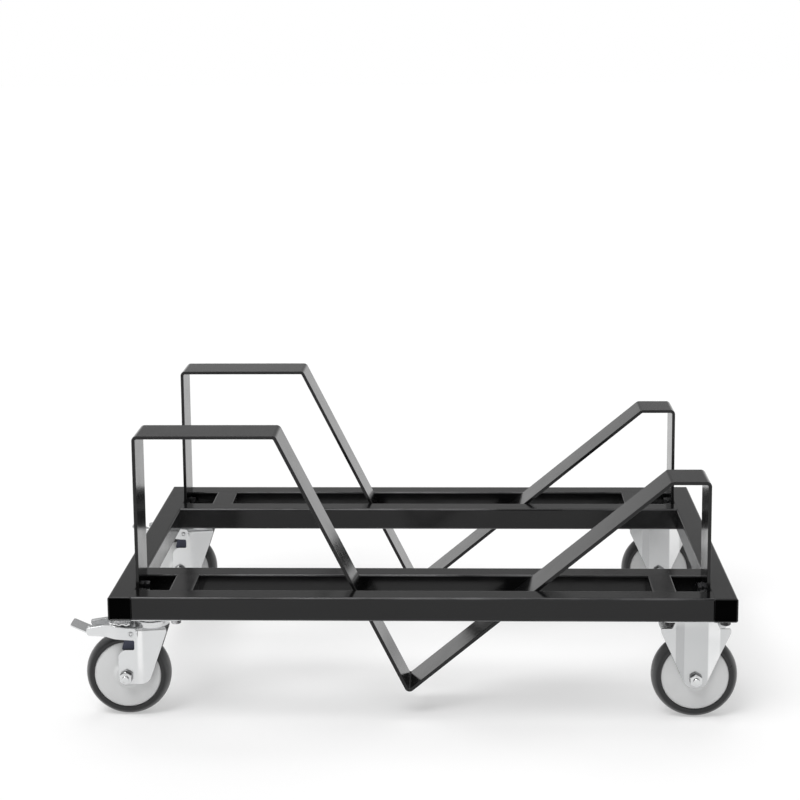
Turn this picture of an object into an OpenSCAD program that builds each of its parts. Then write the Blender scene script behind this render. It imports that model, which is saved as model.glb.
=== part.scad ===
// Stacking chair trolley: a welded square-tube base on two braked swivel casters and two
// fixed casters, with two bent flat-bar cradles bolted between the rails.
// X runs along the base (swivel casters at the left), Y from front to back, Z up from the floor.

/* [Base frame] */
// Length of the base frame, left to right
frame_l = 900; // [880:5:960]
// Depth of the base frame, front to back
frame_w = 600; // [560:5:680]
// Outside width of the square tube
tube = 35; // [34:0.5:37]
// Wall thickness of the square tube
tube_wall = 2; // [1.5:0.25:2.5]
// Outside corner radius of the square tube
tube_r = 3; // [2.75:0.25:4]
// Gap between a side rail and the spacer next to it
cell = 48; // [46:1:50]
// Depth of the plug in a tube end
plug_depth = 14; // [10:1:20]

/* [Cradle straps] */
// Width of the flat bar
strap_w = 70; // [64:1:80]
// Gap between the flat bar and the rail on each side of it
strap_gap = 0.5; // [0.25:0.25:2]
// Thickness of the flat bar
strap_t = 5; // [4:0.5:6]
// Inside radius of every bend
bend_r = 2.5; // [2:0.25:6]
// Height of the left bar above the frame
left_bar_h = 228; // [200:2:260]
// Height of the right bar above the frame
right_bar_h = 161; // [140:1:180]
// Slope of the left side of the cradle
left_slope = 63.5; // [60:0.5:66]
// Slope of the right side of the cradle
right_slope = 39.5; // [37:0.5:42]
// Distance of the cradle's lowest bend from the right end of the base
apex_x = 471; // [450:1:500]
// Height of the cradle's lowest bend above the floor
apex_clear = 38; // [30:1:60]
// Distance between the two screws in a strap foot
foot_pitch = 35; // [28:1:38]

/* [Casters] */
// Height of the casters above the top of their wheels
caster_h = 32; // [30:0.5:40]
// Distance of a caster from the end of the base
caster_x = 55; // [53:0.5:57]
// Distance of a caster from the front or back of the base
caster_y = 50; // [48:0.5:52]
// Length of the caster plate
plate_l = 100; // [98:1:104]
// Width of the caster plate
plate_w = 85; // [82:1:88]
// Bolt spacing along the caster plate
bolt_l = 80; // [78:1:80]
// Bolt spacing across the caster plate
bolt_w = 60; // [60:1:62]
// Thickness of the pressed steel
sheet = 3; // [2.5:0.25:3]
// Distance of a swivel wheel's axle from its kingpin
trail = 36; // [34:0.5:37]

/* [Wheels] */
// Wheel diameter
wheel_d = 125; // [110:1:140]
// Width of the tyre
tyre_w = 30; // [27:0.5:30]
// Radius of the crown across the tyre
crown_r = 18; // [16:0.5:22]
// Diameter of the wheel centre inside the tyre
centre_d = 98; // [94:1:100]
// Diameter of the axle sleeve that the wheel turns on
sleeve_d = 14; // [13.5:0.25:15]

/* [Brake] */
// Distance of the pedal's tip from the kingpin
pedal_reach = 119; // [115:1:125]
// Width of the pedal's tongue
tongue_w = 30; // [24:1:34]
// Height of the pedal's pivot above the top of the wheel
pivot_h = 3.5; // [2.5:0.25:3.75]
// Distance of the pedal's pivot from the kingpin
pivot_x = 27; // [26.5:0.5:27.5]
// Slope of the pedal's tongue
tongue_slope = 24; // [20:1:28]

/* [Hidden] */
$fn = 64;
arc_steps = 6;

// Clearances shared by the fits
run_fit = 0.05;
side_gap = 0.5;
thread_fit = 0.05;
ball_gap = 0.3;

// How far a cut or a joined piece reaches past the face it starts from
over = 1;

// Fasteners: 8 mm screws with their washers and thread inserts
screw_r = 4;
screw_hole_r = 4.5;
head_r = 7.5;
head_h = 5.3;
washer_r = 8;
washer_t = 1.6;
insert_r = 6;
insert_l = 12;
caster_screw_l = 16;
strap_screw_l = 20;

// Axle: 10 mm bolt with hexagon head and nut
axle_r = 5;
axle_head_r = 9.8;
axle_head_h = 6.4;
axle_nut_h = 8;
axle_end = 4;
bush_wall = 2.5;
hub_r = 16;
hub_taper = 4;

// Base frame levels and places
frame_z = wheel_d + caster_h;
frame_top = frame_z + tube;
spacer_x = tube + cell;
slot = strap_w + 2 * strap_gap;
pair_w = 2 * tube + slot;
left_x = caster_x;
right_x = frame_l - caster_x;
x_mid = (max(frame_l, right_x + wheel_d / 2) + left_x - pedal_reach) / 2;
front_y = caster_y;
rear_y = frame_w - caster_y;
corners = [[left_x, front_y], [left_x, rear_y], [right_x, front_y], [right_x, rear_y]];
strap_y = tube + strap_gap;
foot_drop = 12;
foot_rise = 3;
foot_z = frame_z + foot_rise;
foot_screw_z = frame_top - foot_drop;
plug_gap = 0.1;
plug_wall = 3;
plug_face = 0.5;

// Cradle centre line, worked out from the lowest bend
half_v = (180 - left_slope - right_slope) / 2;
tilt_v = (left_slope - right_slope) / 2;
bend_out = bend_r + strap_t;
corner_z = apex_clear - bend_out * (cos(tilt_v) / sin(half_v) - 1);
apex = [frame_l - apex_x, corner_z] + strap_t / 2 / sin(half_v) * [sin(tilt_v), cos(tilt_v)];
left_bar_z = frame_top + left_bar_h - strap_t / 2;
right_bar_z = frame_top + right_bar_h - strap_t / 2;
upright_x = tube + strap_t / 2;
cradle_path = [
    [upright_x, foot_z],
    [upright_x, left_bar_z],
    [apex[0] - (left_bar_z - apex[1]) / tan(left_slope), left_bar_z],
    apex,
    [apex[0] + (right_bar_z - apex[1]) / tan(right_slope), right_bar_z],
    [frame_l - upright_x, right_bar_z],
    [frame_l - upright_x, foot_z]
];

// Wheel and fork widths, measured from the middle plane of the wheel
wheel_r = wheel_d / 2;
centre_r = centre_d / 2;
sleeve_r = sleeve_d / 2;
bush_r = sleeve_r + bush_wall;
hub_half = 20;
fork_in = hub_half + side_gap;
fork_out = fork_in + sheet;
disc_half = 16.5;
rim_half = 13.5;

// Swivel head: two rings with a ball race between them
plate_z = frame_z - sheet;
plate_corner_r = 8;
head_ring_r = 24.7;
upper_ring_h = 7.7;
lower_ring_h = 9;
head_gap = 0.8;
race_bottom = plate_z - upper_ring_h;
head_top = race_bottom - head_gap;
crown_top = head_top - lower_ring_h;
crown_z = crown_top - sheet;
crown_inset = 6;
kingpin_r = 6;
kingpin_head_r = 10;
kingpin_head_h = 4;
ball_r = 3;
ball_circle = 17;
balls = 16;
race_z = (head_top + race_bottom) / 2;

// Swivel fork legs: a flat cheek that turns inwards ahead of the axle
boss_r = 11;
cheek_turn = 8;
cheek_bend_x = -15;
cheek_bend_r = 14;
cheek_front = 26;
cheek_foot = -3.5;
leg_left = -trail - boss_r;
pivot_z = wheel_d + pivot_h;
lug_drop = 10.5;
notch_h = 15;
notch_high = pivot_z - lug_drop;
notch_low = notch_high - notch_h;
notch_x = -23;
lug_left = -38;
cheek_radii = [5, 3, 3, 12, boss_r, 10, 4, 0, 3];

// Fixed fork legs: a raised middle panel between two lower wings
panel_half = 17;
facet_half = 28;
panel_rise = 3;
wing_half = 50;
wing_drop = 15;
wing_edge = 6;
wing_top = plate_z - wing_drop;
wing_corner = wing_top - wing_edge;
neck_low = 34;
neck_high = 26;
fixed_boss_r = 12.5;
wing_radii = [fixed_boss_r, 12, 2, 4, 0];

// Brake pedal and shoe, with heights measured from the pivot
pedal_gap = 0.5;
pedal_t = 2.5;
pedal_in = fork_out + pedal_gap;
pedal_out = pedal_in + pedal_t;
rivet_r = 2.5;
rivet_head_r = 5.5;
rivet_head_h = 2.5;
pivot_lug_r = 9;
flange_left = -95;
flange_rake = 3;
flange_low = -5;
flange_mid_x = -57;
flange_mid_low = -7;
flange_high = 6.5;
flange_peak = 12.5;
flange_step_x = -35;
flange_crest = 10;
flange_radii = [3, 20, 0, 6, 6, 6, 10, 3];
tongue_x = -92;
tongue_gap = 0.5;
tip_in = tongue_w / 2 + tongue_gap;
taper_x = -50;
web_end = -68;
web_z = -4;
bridge_left = -60;
bridge_right = -29;
bridge_z = 10;
bridge_slots = 3;
shoe_t = 1.5;
shoe_gap = 0.8;
shoe_out = fork_in - shoe_gap;
shoe_in = shoe_out - shoe_t;
shoe_lug_r = 4;
shoe_left = -57;
shoe_pad_l = 15;
shoe_pad_z = -1;
shoe_neck_x = -40;
shoe_neck_z = -4;
shoe_waist_x = -38.5;
shoe_foot_x = -42.5;
shoe_lap = 1;
shoe_foot_z = -lug_drop - notch_h - shoe_lap;
shoe_radii = [0, 0, 2, 2, 2, 3, 3, 0];

// Plane geometry helpers
function unit(v) = v / norm(v);
function turned(v) = [-v[1], v[0]];
function turn_sign(a, b) = a[0] * b[1] - a[1] * b[0];
function step_in(path, i) = unit(path[max(i, 1)] - path[max(i, 1) - 1]);
function step_out(path, i) = unit(path[min(i + 1, len(path) - 1)] - path[min(i, len(path) - 2)]);
function mitre(a, b) = (turned(a) + turned(b)) / (1 + a * b);

// A path moved sideways by d, with mitred corners
function beside(path, d) = [
    for (i = [0 : len(path) - 1]) path[i] + d * mitre(step_in(path, i), step_out(path, i))
];

// Bend radius at each point of a path on one side of it
function side_radii(path, side, inner, outer) = [
    for (i = [0 : len(path) - 1])
        let (turn = turn_sign(step_in(path, i), step_out(path, i)) * side)
        turn == 0 ? 0 : turn > 0 ? inner : outer
];
function reversed(list) = [for (i = [len(list) - 1 : -1 : 0]) list[i]];

// The corner p between its neighbours, rounded by radius r as an arc of points
function rounded_corner(before, p, after, r) =
    let (
        a = unit(before - p),
        b = unit(after - p),
        half = acos(a * b) / 2,
        centre = p + unit(a + b) * r / sin(half),
        from = p + a * r / tan(half) - centre,
        side = turn_sign(p - before, after - p) > 0 ? 1 : -1,
        sweep = side * (180 - 2 * half)
    )
    [
        for (k = [0 : arc_steps])
            let (t = sweep * k / arc_steps)
            centre + [from[0] * cos(t) - from[1] * sin(t), from[0] * sin(t) + from[1] * cos(t)]
    ];

// A closed outline with the given radius at each corner
function rounded_outline(points, radii) = [
    for (i = [0 : len(points) - 1])
        let (
            n = len(points),
            before = points[(i + n - 1) % n],
            after = points[(i + 1) % n]
        )
        each radii[i] == 0 ? [points[i]] : rounded_corner(before, points[i], after, radii[i])
];
function box_points(w, d) = [[0, 0], [w, 0], [w, d], [0, d]];
function mirrored(points) = [for (p = reversed(points)) [-p[0], p[1]]];

// Placement helpers
module on_base() {
    translate([-x_mid, -frame_w / 2, 0]) children();
}
module at_caster(x, y) {
    on_base() translate([x, y, 0]) children();
}
module at_axle(x, y) {
    at_caster(x, y) translate([0, 0, wheel_r]) rotate([90, 0, 0]) children();
}
module both_sides() {
    children();
    mirror([0, 1, 0]) children();
}

// Flat outline in the XZ plane, from y1 to y2
module upright_sheet(y1, y2) {
    translate([0, y2, 0]) rotate([90, 0, 0]) linear_extrude(y2 - y1) children();
}
module tube_end() {
    inner = tube - 2 * tube_wall;
    difference() {
        polygon(rounded_outline(box_points(tube, tube), [for (i = [0 : 3]) tube_r]));
        translate([tube_wall, tube_wall])
            polygon(rounded_outline(box_points(inner, inner), [for (i = [0 : 3]) tube_r - tube_wall]));
    }
}
module tube_along_x(l) {
    rotate([90, 0, 90]) linear_extrude(l) tube_end();
}
module tube_along_y(l) {
    upright_sheet(0, l) tube_end();
}

// Screw places: caster screws on each caster, strap screws in each strap foot
module at_caster_screws(casters = corners) {
    for (c = casters, sx = [-1, 1], sy = [-1, 1])
        translate([c[0] + sx * bolt_l / 2, c[1] + sy * bolt_w / 2, 0]) children();
}
module at_strap_screws() {
    for (y = [strap_y + strap_w / 2, frame_w - strap_y - strap_w / 2], s = [-1, 1]) {
        translate([tube, y + s * foot_pitch / 2, foot_screw_z]) rotate([0, 90, 0]) children();
        translate([frame_l - tube, y + s * foot_pitch / 2, foot_screw_z]) rotate([0, -90, 0]) children();
    }
}
module insert_holes() {
    at_caster_screws() translate([0, 0, frame_z - over]) cylinder(r = insert_r + run_fit, h = insert_l);
    at_strap_screws() translate([0, 0, over - insert_l]) cylinder(r = insert_r + run_fit, h = insert_l);
}
module hex_screw(l, r, hex_r, hex_h) {
    translate([0, 0, -hex_h]) cylinder(r = hex_r, h = hex_h, $fn = 6);
    cylinder(r = r, h = l);
}
module ring(outer, inner, h) {
    difference() {
        cylinder(r = outer, h = h);
        translate([0, 0, -over]) cylinder(r = inner, h = h + 2 * over);
    }
}

// Base frame
module side_rail(x) {
    color("#2b2b2c") on_base() difference() {
        translate([x, 0, frame_z]) tube_along_y(frame_w);
        insert_holes();
    }
}
module long_rail(y) {
    color("#2b2b2c") on_base() difference() {
        translate([tube, y, frame_z]) tube_along_x(frame_l - 2 * tube);
        insert_holes();
    }
}
module spacer(x, y) {
    color("#2b2b2c") on_base() difference() {
        translate([x, y, frame_z]) tube_along_y(slot);
        insert_holes();
    }
}
module end_plug() {
    size = tube - 2 * tube_wall - 2 * plug_gap;
    radii = [for (i = [0 : 3]) tube_r - tube_wall];
    pocket = size - 2 * plug_wall;
    translate([-size / 2, 0, -size / 2]) difference() {
        upright_sheet(plug_face, plug_depth) polygon(rounded_outline(box_points(size, size), radii));
        translate([plug_wall, plug_face + plug_wall, plug_wall]) cube([pocket, plug_depth, pocket]);
    }
}
module end_plugs() {
    color("#080808") on_base() for (x = [tube / 2, frame_l - tube / 2]) {
        translate([x, 0, frame_z + tube / 2]) end_plug();
        translate([x, frame_w, frame_z + tube / 2]) mirror([0, 1, 0]) end_plug();
    }
}

// Cradle strap: one flat bar bent from foot to foot
module cradle_strap(y) {
    upper = beside(cradle_path, strap_t / 2);
    lower = beside(cradle_path, -strap_t / 2);
    points = concat(reversed(upper), lower);
    radii = concat(
        reversed(side_radii(cradle_path, 1, bend_r, bend_out)),
        side_radii(cradle_path, -1, bend_r, bend_out)
    );
    color("#262627") on_base() difference() {
        upright_sheet(y, y + strap_w) polygon(rounded_outline(points, radii));
        at_strap_screws() translate([0, 0, -over]) cylinder(r = screw_hole_r, h = strap_t + 2 * over);
    }
}
module strap_screws() {
    color("#3a3a3c") on_base() at_strap_screws() translate([0, 0, strap_t + washer_t])
        mirror([0, 0, 1]) hex_screw(strap_screw_l, screw_r, head_r, head_h);
}
module strap_washers() {
    color("#3a3a3c") on_base() at_strap_screws() translate([0, 0, strap_t])
        ring(washer_r, screw_hole_r, washer_t);
}
module strap_inserts() {
    color("#b8babc") on_base() at_strap_screws() translate([0, 0, -insert_l])
        ring(insert_r, screw_r + thread_fit, insert_l);
}

// Caster fasteners
module caster_screws() {
    color("#3a3a3c") on_base() at_caster_screws() translate([0, 0, plate_z - washer_t])
        hex_screw(caster_screw_l, screw_r, head_r, head_h);
}
module caster_washers() {
    color("#3a3a3c") on_base() at_caster_screws() translate([0, 0, plate_z - washer_t])
        ring(washer_r, screw_hole_r, washer_t);
}
module caster_inserts() {
    color("#b8babc") on_base() at_caster_screws() translate([0, 0, frame_z])
        ring(insert_r, screw_r + thread_fit, insert_l);
}

// Caster plate with its four screw holes, under the base
module plate_blank() {
    points = [for (p = box_points(plate_l, plate_w)) p - [plate_l, plate_w] / 2];
    difference() {
        translate([0, 0, plate_z]) linear_extrude(sheet)
            polygon(rounded_outline(points, [for (i = [0 : 3]) plate_corner_r]));
        at_caster_screws([[0, 0]]) translate([0, 0, plate_z - over])
            cylinder(r = screw_hole_r, h = sheet + 2 * over);
    }
}

// Fixed fork: the plate with two pressed legs
module fixed_leg() {
    path = [
        [-wing_half - over, -fork_in + panel_rise],
        [-facet_half, -fork_in + panel_rise],
        [-panel_half, -fork_in],
        [panel_half, -fork_in],
        [facet_half, -fork_in + panel_rise],
        [wing_half + over, -fork_in + panel_rise]
    ];
    plan = concat(beside(path, -sheet), reversed(path));
    side = [
        [fixed_boss_r, wheel_r - fixed_boss_r], [wing_half, wing_corner],
        [wing_half, wing_top], [neck_low, wing_top], [neck_high, plate_z]
    ];
    outline = concat(mirrored(side), side);
    intersection() {
        linear_extrude(plate_z + over) polygon(plan);
        upright_sheet(-fork_out - over, 0)
            polygon(rounded_outline(outline, concat(reversed(wing_radii), wing_radii)));
    }
}
module fixed_fork(x, y) {
    color("#d4d6d7") difference() {
        at_caster(x, y) {
            plate_blank();
            both_sides() fixed_leg();
        }
        axle_hole(x, y);
    }
}

// Axle pieces, along the wheel's axis with the nut at the front
module axle_hole(x, y) {
    at_axle(x, y) cylinder(r = axle_r + run_fit, h = 2 * (fork_out + over), center = true);
}
module axle_bolt(x, y) {
    at_axle(x, y) translate([0, 0, -fork_out])
        hex_screw(2 * fork_out + axle_nut_h + axle_end, axle_r, axle_head_r, axle_head_h);
}
module axle_nut(x, y) {
    at_axle(x, y) translate([0, 0, fork_out]) difference() {
        cylinder(r = axle_head_r, h = axle_nut_h, $fn = 6);
        translate([0, 0, -over]) cylinder(r = axle_r + thread_fit, h = axle_nut_h + 2 * over);
    }
}
module axle_sleeve(x, y) {
    at_axle(x, y) translate([0, 0, -fork_in]) ring(sleeve_r, axle_r + run_fit, 2 * fork_in);
}
module fixed_axle_bolts() {
    color("#cfd1d2") for (y = [front_y, rear_y]) axle_bolt(right_x, y);
}
module fixed_axle_nuts() {
    color("#cfd1d2") for (y = [front_y, rear_y]) axle_nut(right_x, y);
}
module fixed_axle_sleeves() {
    color("#b8babc") for (y = [front_y, rear_y]) axle_sleeve(right_x, y);
}

// Swivel head: plate with the upper race, kingpin and balls
module race_groove() {
    translate([0, 0, race_z]) rotate_extrude() translate([ball_circle, 0]) circle(r = ball_r + ball_gap);
}
module swivel_plate(y) {
    color("#d8dadb") at_caster(left_x, y) difference() {
        union() {
            plate_blank();
            translate([0, 0, race_bottom]) cylinder(r = head_ring_r, h = plate_z - race_bottom);
        }
        translate([0, 0, race_bottom - over])
            cylinder(r = kingpin_r + run_fit, h = upper_ring_h + sheet + 2 * over);
        race_groove();
    }
}
module kingpins() {
    color("#b8babc") for (y = [front_y, rear_y]) at_caster(left_x, y) {
        translate([0, 0, crown_z - ball_gap - kingpin_head_h])
            cylinder(r = kingpin_head_r, h = kingpin_head_h);
        translate([0, 0, crown_z - ball_gap]) cylinder(r = kingpin_r, h = frame_z - crown_z + ball_gap);
    }
}
module swivel_balls() {
    color("#b0b2b4") for (y = [front_y, rear_y], i = [1 : balls]) at_caster(left_x, y)
        rotate([0, 0, i * 360 / balls]) translate([ball_circle, 0, race_z]) sphere(r = ball_r);
}

// Swivel fork: the lower race and crown with two cheeks
module swivel_cheek_plan(inner) {
    path = [
        [leg_left - over, -inner],
        [cheek_bend_x, -inner],
        [cheek_front, -inner + (cheek_front - cheek_bend_x) * tan(cheek_turn)]
    ];
    radii = concat([0, cheek_bend_r, 0], [0, cheek_bend_r - sheet, 0]);
    polygon(rounded_outline(concat(beside(path, -sheet), reversed(path)), radii));
}
module swivel_cheek() {
    side = [
        [lug_left, notch_high], [notch_x, notch_high], [notch_x, notch_low], [leg_left, notch_low],
        [leg_left, wheel_r - boss_r], [cheek_foot, wheel_r - boss_r], [head_ring_r, crown_z],
        [head_ring_r, crown_top], [lug_left, crown_top]
    ];
    intersection() {
        linear_extrude(crown_top) swivel_cheek_plan(fork_in);
        upright_sheet(-fork_out - over, 0) polygon(rounded_outline(side, cheek_radii));
    }
}
module swivel_crown() {
    front_half = fork_out - (head_ring_r - cheek_bend_x) * tan(cheek_turn);
    crown_right = head_ring_r - crown_inset;
    half = [[lug_left, 0], [lug_left, -fork_out], [cheek_bend_x, -fork_out], [crown_right, -front_half]];
    translate([0, 0, crown_z]) linear_extrude(sheet)
        polygon(concat(half, [for (p = reversed(half)) [p[0], -p[1]]]));
    translate([0, 0, crown_top]) cylinder(r = head_ring_r, h = head_top - crown_top);
}
module swivel_fork(y) {
    color("#d4d6d7") difference() {
        at_caster(left_x, y) difference() {
            union() {
                both_sides() swivel_cheek();
                swivel_crown();
            }
            translate([0, 0, crown_z - over])
                cylinder(r = kingpin_r + run_fit, h = head_top - crown_z + 2 * over);
            race_groove();
        }
        axle_hole(left_x - trail, y);
        pivot_hole(y);
    }
}

// Brake: pedal and shoe on a short rivet in each cheek
module at_pivot(y) {
    at_caster(left_x - pivot_x, y) translate([0, 0, pivot_z]) rotate([90, 0, 0]) children();
}
module beside_pivot(y) {
    at_caster(left_x, y) translate([0, 0, pivot_z]) children();
}
module pivot_hole(y) {
    at_pivot(y) cylinder(r = rivet_r + run_fit, h = 2 * (pedal_out + over), center = true);
}
module brake_rivet(y) {
    color("#cfd1d2") at_pivot(y) for (s = [0, 1]) mirror([0, 0, s]) {
        translate([0, 0, shoe_in]) cylinder(r = rivet_r, h = pedal_out - shoe_in);
        translate([0, 0, pedal_out]) cylinder(r1 = rivet_head_r, r2 = rivet_r, h = rivet_head_h);
    }
}
function pedal_half(x) = tip_in + (pedal_in - tip_in) * (x - flange_left) / (taper_x - flange_left);
module pedal_plate(z, side) {
    translate([0, 0, z]) linear_extrude(pedal_t)
        polygon(concat(side, [for (p = reversed(side)) [p[0], -p[1]]]));
}
module pedal_flange() {
    points = [
        [flange_left + flange_rake, flange_low], [flange_mid_x, flange_mid_low],
        [-pivot_x, -pivot_lug_r], [pivot_lug_r - pivot_x, -pivot_lug_r],
        [pivot_lug_r - pivot_x, pivot_lug_r], [flange_step_x, flange_crest],
        [flange_mid_x, flange_peak], [flange_left, flange_high]
    ];
    end_x = flange_left - over;
    inner = [[end_x, -pedal_half(end_x)], [taper_x, -pedal_in], [0, -pedal_in]];
    outer = [for (p = reversed(inner)) p - [0, pedal_t]];
    intersection() {
        translate([0, 0, -pedal_reach]) linear_extrude(2 * pedal_reach) polygon(concat(inner, outer));
        upright_sheet(-pedal_out - over, 0) polygon(rounded_outline(points, flange_radii));
    }
}
module pedal_tongue() {
    rise = (tongue_x + pedal_reach) * tan(tongue_slope);
    points = [
        [web_end, web_z], [web_end, web_z + pedal_t],
        [tongue_x, web_z + pedal_t], [-pedal_reach, web_z + pedal_t + rise],
        [-pedal_reach, web_z + rise], [tongue_x, web_z]
    ];
    upright_sheet(-tongue_w / 2, tongue_w / 2) polygon(points);
    pedal_plate(web_z, [for (x = [web_end, tongue_x]) [x, pedal_half(x) + over]]);
}
module pedal_bridge() {
    pitch = (bridge_right - bridge_left) / bridge_slots;
    half = pedal_in + over;
    difference() {
        pedal_plate(bridge_z, [
            [bridge_left, pedal_half(bridge_left) + over], [taper_x, half], [bridge_right, half]
        ]);
        for (i = [0 : bridge_slots - 1])
            translate([bridge_left + (i + 0.25) * pitch, -pedal_in / 2, bridge_z - over])
                cube([pitch / 2, pedal_in, pedal_t + 2 * over]);
    }
}
module pedal(y) {
    color("#c9cbcc") difference() {
        beside_pivot(y) {
            both_sides() pedal_flange();
            pedal_tongue();
            pedal_bridge();
        }
        pivot_hole(y);
    }
}
module shoe_ear() {
    points = [
        [shoe_left, shoe_pad_z], [shoe_neck_x, shoe_neck_z], [shoe_waist_x, -lug_drop - shoe_lap],
        [shoe_foot_x, shoe_foot_z], [notch_x + shoe_lap, shoe_foot_z],
        [shoe_lug_r - pivot_x, shoe_lug_r], [shoe_neck_x, shoe_lug_r], [shoe_left, shoe_pad_z + shoe_t]
    ];
    upright_sheet(-shoe_out, -shoe_in) polygon(rounded_outline(points, shoe_radii));
}
module brake_shoe(y) {
    color("#3c414e") difference() {
        beside_pivot(y) {
            both_sides() shoe_ear();
            translate([shoe_left, -shoe_out, shoe_pad_z]) cube([shoe_pad_l, 2 * shoe_out, shoe_t]);
        }
        pivot_hole(y);
    }
}

// Wheels: plain centre, crowned tyre and bush, turned about the axle
module wheel_centre(x, y) {
    half = [
        [bush_r, hub_half], [hub_r, hub_half], [hub_r + hub_taper, disc_half], [centre_r, rim_half]
    ];
    color("#d2d4d4") at_axle(x, y) rotate_extrude($fn = 96)
        polygon(concat(half, [for (p = reversed(half)) [p[0], -p[1]]]));
}
module tyre(x, y) {
    color("#4b4c4d") at_axle(x, y) rotate_extrude($fn = 96) intersection() {
        translate([wheel_r - crown_r, 0]) circle(r = crown_r, $fn = 96);
        translate([centre_r, -tyre_w / 2]) square([wheel_r, tyre_w]);
    }
}
module bush(x, y) {
    color("#202122") at_axle(x, y) translate([0, 0, -hub_half])
        ring(bush_r, sleeve_r + run_fit, 2 * hub_half);
}

side_rail(0);  // left_side_rail
side_rail(frame_l - tube);  // right_side_rail
long_rail(0);  // front_outer_rail
long_rail(tube + slot);  // front_inner_rail
long_rail(frame_w - pair_w);  // rear_inner_rail
long_rail(frame_w - tube);  // rear_outer_rail
spacer(spacer_x, tube);  // front_left_spacer
spacer(frame_l - spacer_x - tube, tube);  // front_right_spacer
spacer(spacer_x, frame_w - tube - slot);  // rear_left_spacer
spacer(frame_l - spacer_x - tube, frame_w - tube - slot);  // rear_right_spacer
end_plugs();
cradle_strap(strap_y);  // front_cradle_strap
cradle_strap(frame_w - strap_y - strap_w);  // rear_cradle_strap
strap_screws();
strap_washers();
strap_inserts();
caster_screws();
caster_washers();
caster_inserts();
fixed_fork(right_x, front_y);  // front_right_fork
fixed_fork(right_x, rear_y);  // rear_right_fork
fixed_axle_bolts();
fixed_axle_nuts();
fixed_axle_sleeves();
swivel_plate(front_y);  // front_left_plate
swivel_plate(rear_y);  // rear_left_plate
kingpins();
swivel_balls();
swivel_fork(front_y);  // front_left_fork
color("#cfd1d2") axle_bolt(left_x - trail, front_y);  // front_left_axle_bolt
color("#cfd1d2") axle_nut(left_x - trail, front_y);  // front_left_axle_nut
color("#b8babc") axle_sleeve(left_x - trail, front_y);  // front_left_axle_sleeve
brake_rivet(front_y);  // front_left_brake_rivet
swivel_fork(rear_y);  // rear_left_fork
color("#cfd1d2") axle_bolt(left_x - trail, rear_y);  // rear_left_axle_bolt
color("#cfd1d2") axle_nut(left_x - trail, rear_y);  // rear_left_axle_nut
color("#b8babc") axle_sleeve(left_x - trail, rear_y);  // rear_left_axle_sleeve
brake_rivet(rear_y);  // rear_left_brake_rivet
pedal(front_y);  // front_left_pedal
brake_shoe(front_y);  // front_left_brake_shoe
pedal(rear_y);  // rear_left_pedal
brake_shoe(rear_y);  // rear_left_brake_shoe
wheel_centre(left_x - trail, front_y);  // front_left_wheel
tyre(left_x - trail, front_y);  // front_left_tyre
bush(left_x - trail, front_y);  // front_left_bush
wheel_centre(left_x - trail, rear_y);  // rear_left_wheel
tyre(left_x - trail, rear_y);  // rear_left_tyre
bush(left_x - trail, rear_y);  // rear_left_bush
wheel_centre(right_x, front_y);  // front_right_wheel
tyre(right_x, front_y);  // front_right_tyre
bush(right_x, front_y);  // front_right_bush
wheel_centre(right_x, rear_y);  // rear_right_wheel
tyre(right_x, rear_y);  // rear_right_tyre
bush(right_x, rear_y);  // rear_right_bush
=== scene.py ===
import math

import bmesh
import bpy
import numpy as np
from mathutils import Matrix, Vector


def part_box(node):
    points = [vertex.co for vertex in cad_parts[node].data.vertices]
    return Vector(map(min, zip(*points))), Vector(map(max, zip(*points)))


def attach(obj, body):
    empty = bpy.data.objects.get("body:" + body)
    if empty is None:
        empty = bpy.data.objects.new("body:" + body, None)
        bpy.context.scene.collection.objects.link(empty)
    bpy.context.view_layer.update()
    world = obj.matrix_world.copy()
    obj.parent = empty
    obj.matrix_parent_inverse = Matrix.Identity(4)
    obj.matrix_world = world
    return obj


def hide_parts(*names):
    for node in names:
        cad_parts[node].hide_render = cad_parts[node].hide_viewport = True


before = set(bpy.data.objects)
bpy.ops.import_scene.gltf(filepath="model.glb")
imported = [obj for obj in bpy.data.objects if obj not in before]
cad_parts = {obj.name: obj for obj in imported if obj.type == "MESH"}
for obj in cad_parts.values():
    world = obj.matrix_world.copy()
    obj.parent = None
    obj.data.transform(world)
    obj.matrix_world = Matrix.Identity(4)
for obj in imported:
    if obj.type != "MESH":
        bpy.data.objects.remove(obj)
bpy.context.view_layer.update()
print("frame loaded:", len(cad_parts), "solids")

# The drawing counts millimetres from the base's left end, its front face and the floor
drawingOrigin = np.array([421.75, 300.0, 0.0])
perMetre = 1000.0


def toMetres(points):
    return (points - drawingOrigin) / perMetre


def nodeBox(node):
    return [np.array(corner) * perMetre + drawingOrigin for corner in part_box(node)]


# Finishes: every surface is two close tones clouded together, with its own gloss and grain; a share of wear
# and painted highlight lightens it towards a rubbed tone, and a share of painted shade darkens it

noiseLook = {"detail": 3.0, "middle": (0.3, 0.7)}    # most of the noise lies in this middle range


def rangeNode(tree, value, fromRange, toRange):
    # carries the first range over to the second
    spread = tree.nodes.new("ShaderNodeMapRange")
    for socket, limit in zip(("From Min", "From Max", "To Min", "To Max"), (*fromRange, *toRange)):
        spread.inputs[socket].default_value = limit
    tree.links.new(value, spread.inputs["Value"])
    return spread


def noiseBetween(tree, place, scale, low, high):
    noise = tree.nodes.new("ShaderNodeTexNoise")
    noise.inputs["Scale"].default_value = scale
    noise.inputs["Detail"].default_value = noiseLook["detail"]
    tree.links.new(place, noise.inputs["Vector"])
    return rangeNode(tree, noise.outputs["Fac"], noiseLook["middle"], (low, high)).outputs["Result"]


def pointShare(tree, name):
    # a share kept at every point of a surface, such as its share of wear and painted highlight, or its share
    # of painted shade
    share = tree.nodes.new("ShaderNodeAttribute")
    share.attribute_name = name
    return share.outputs["Fac"]


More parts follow.
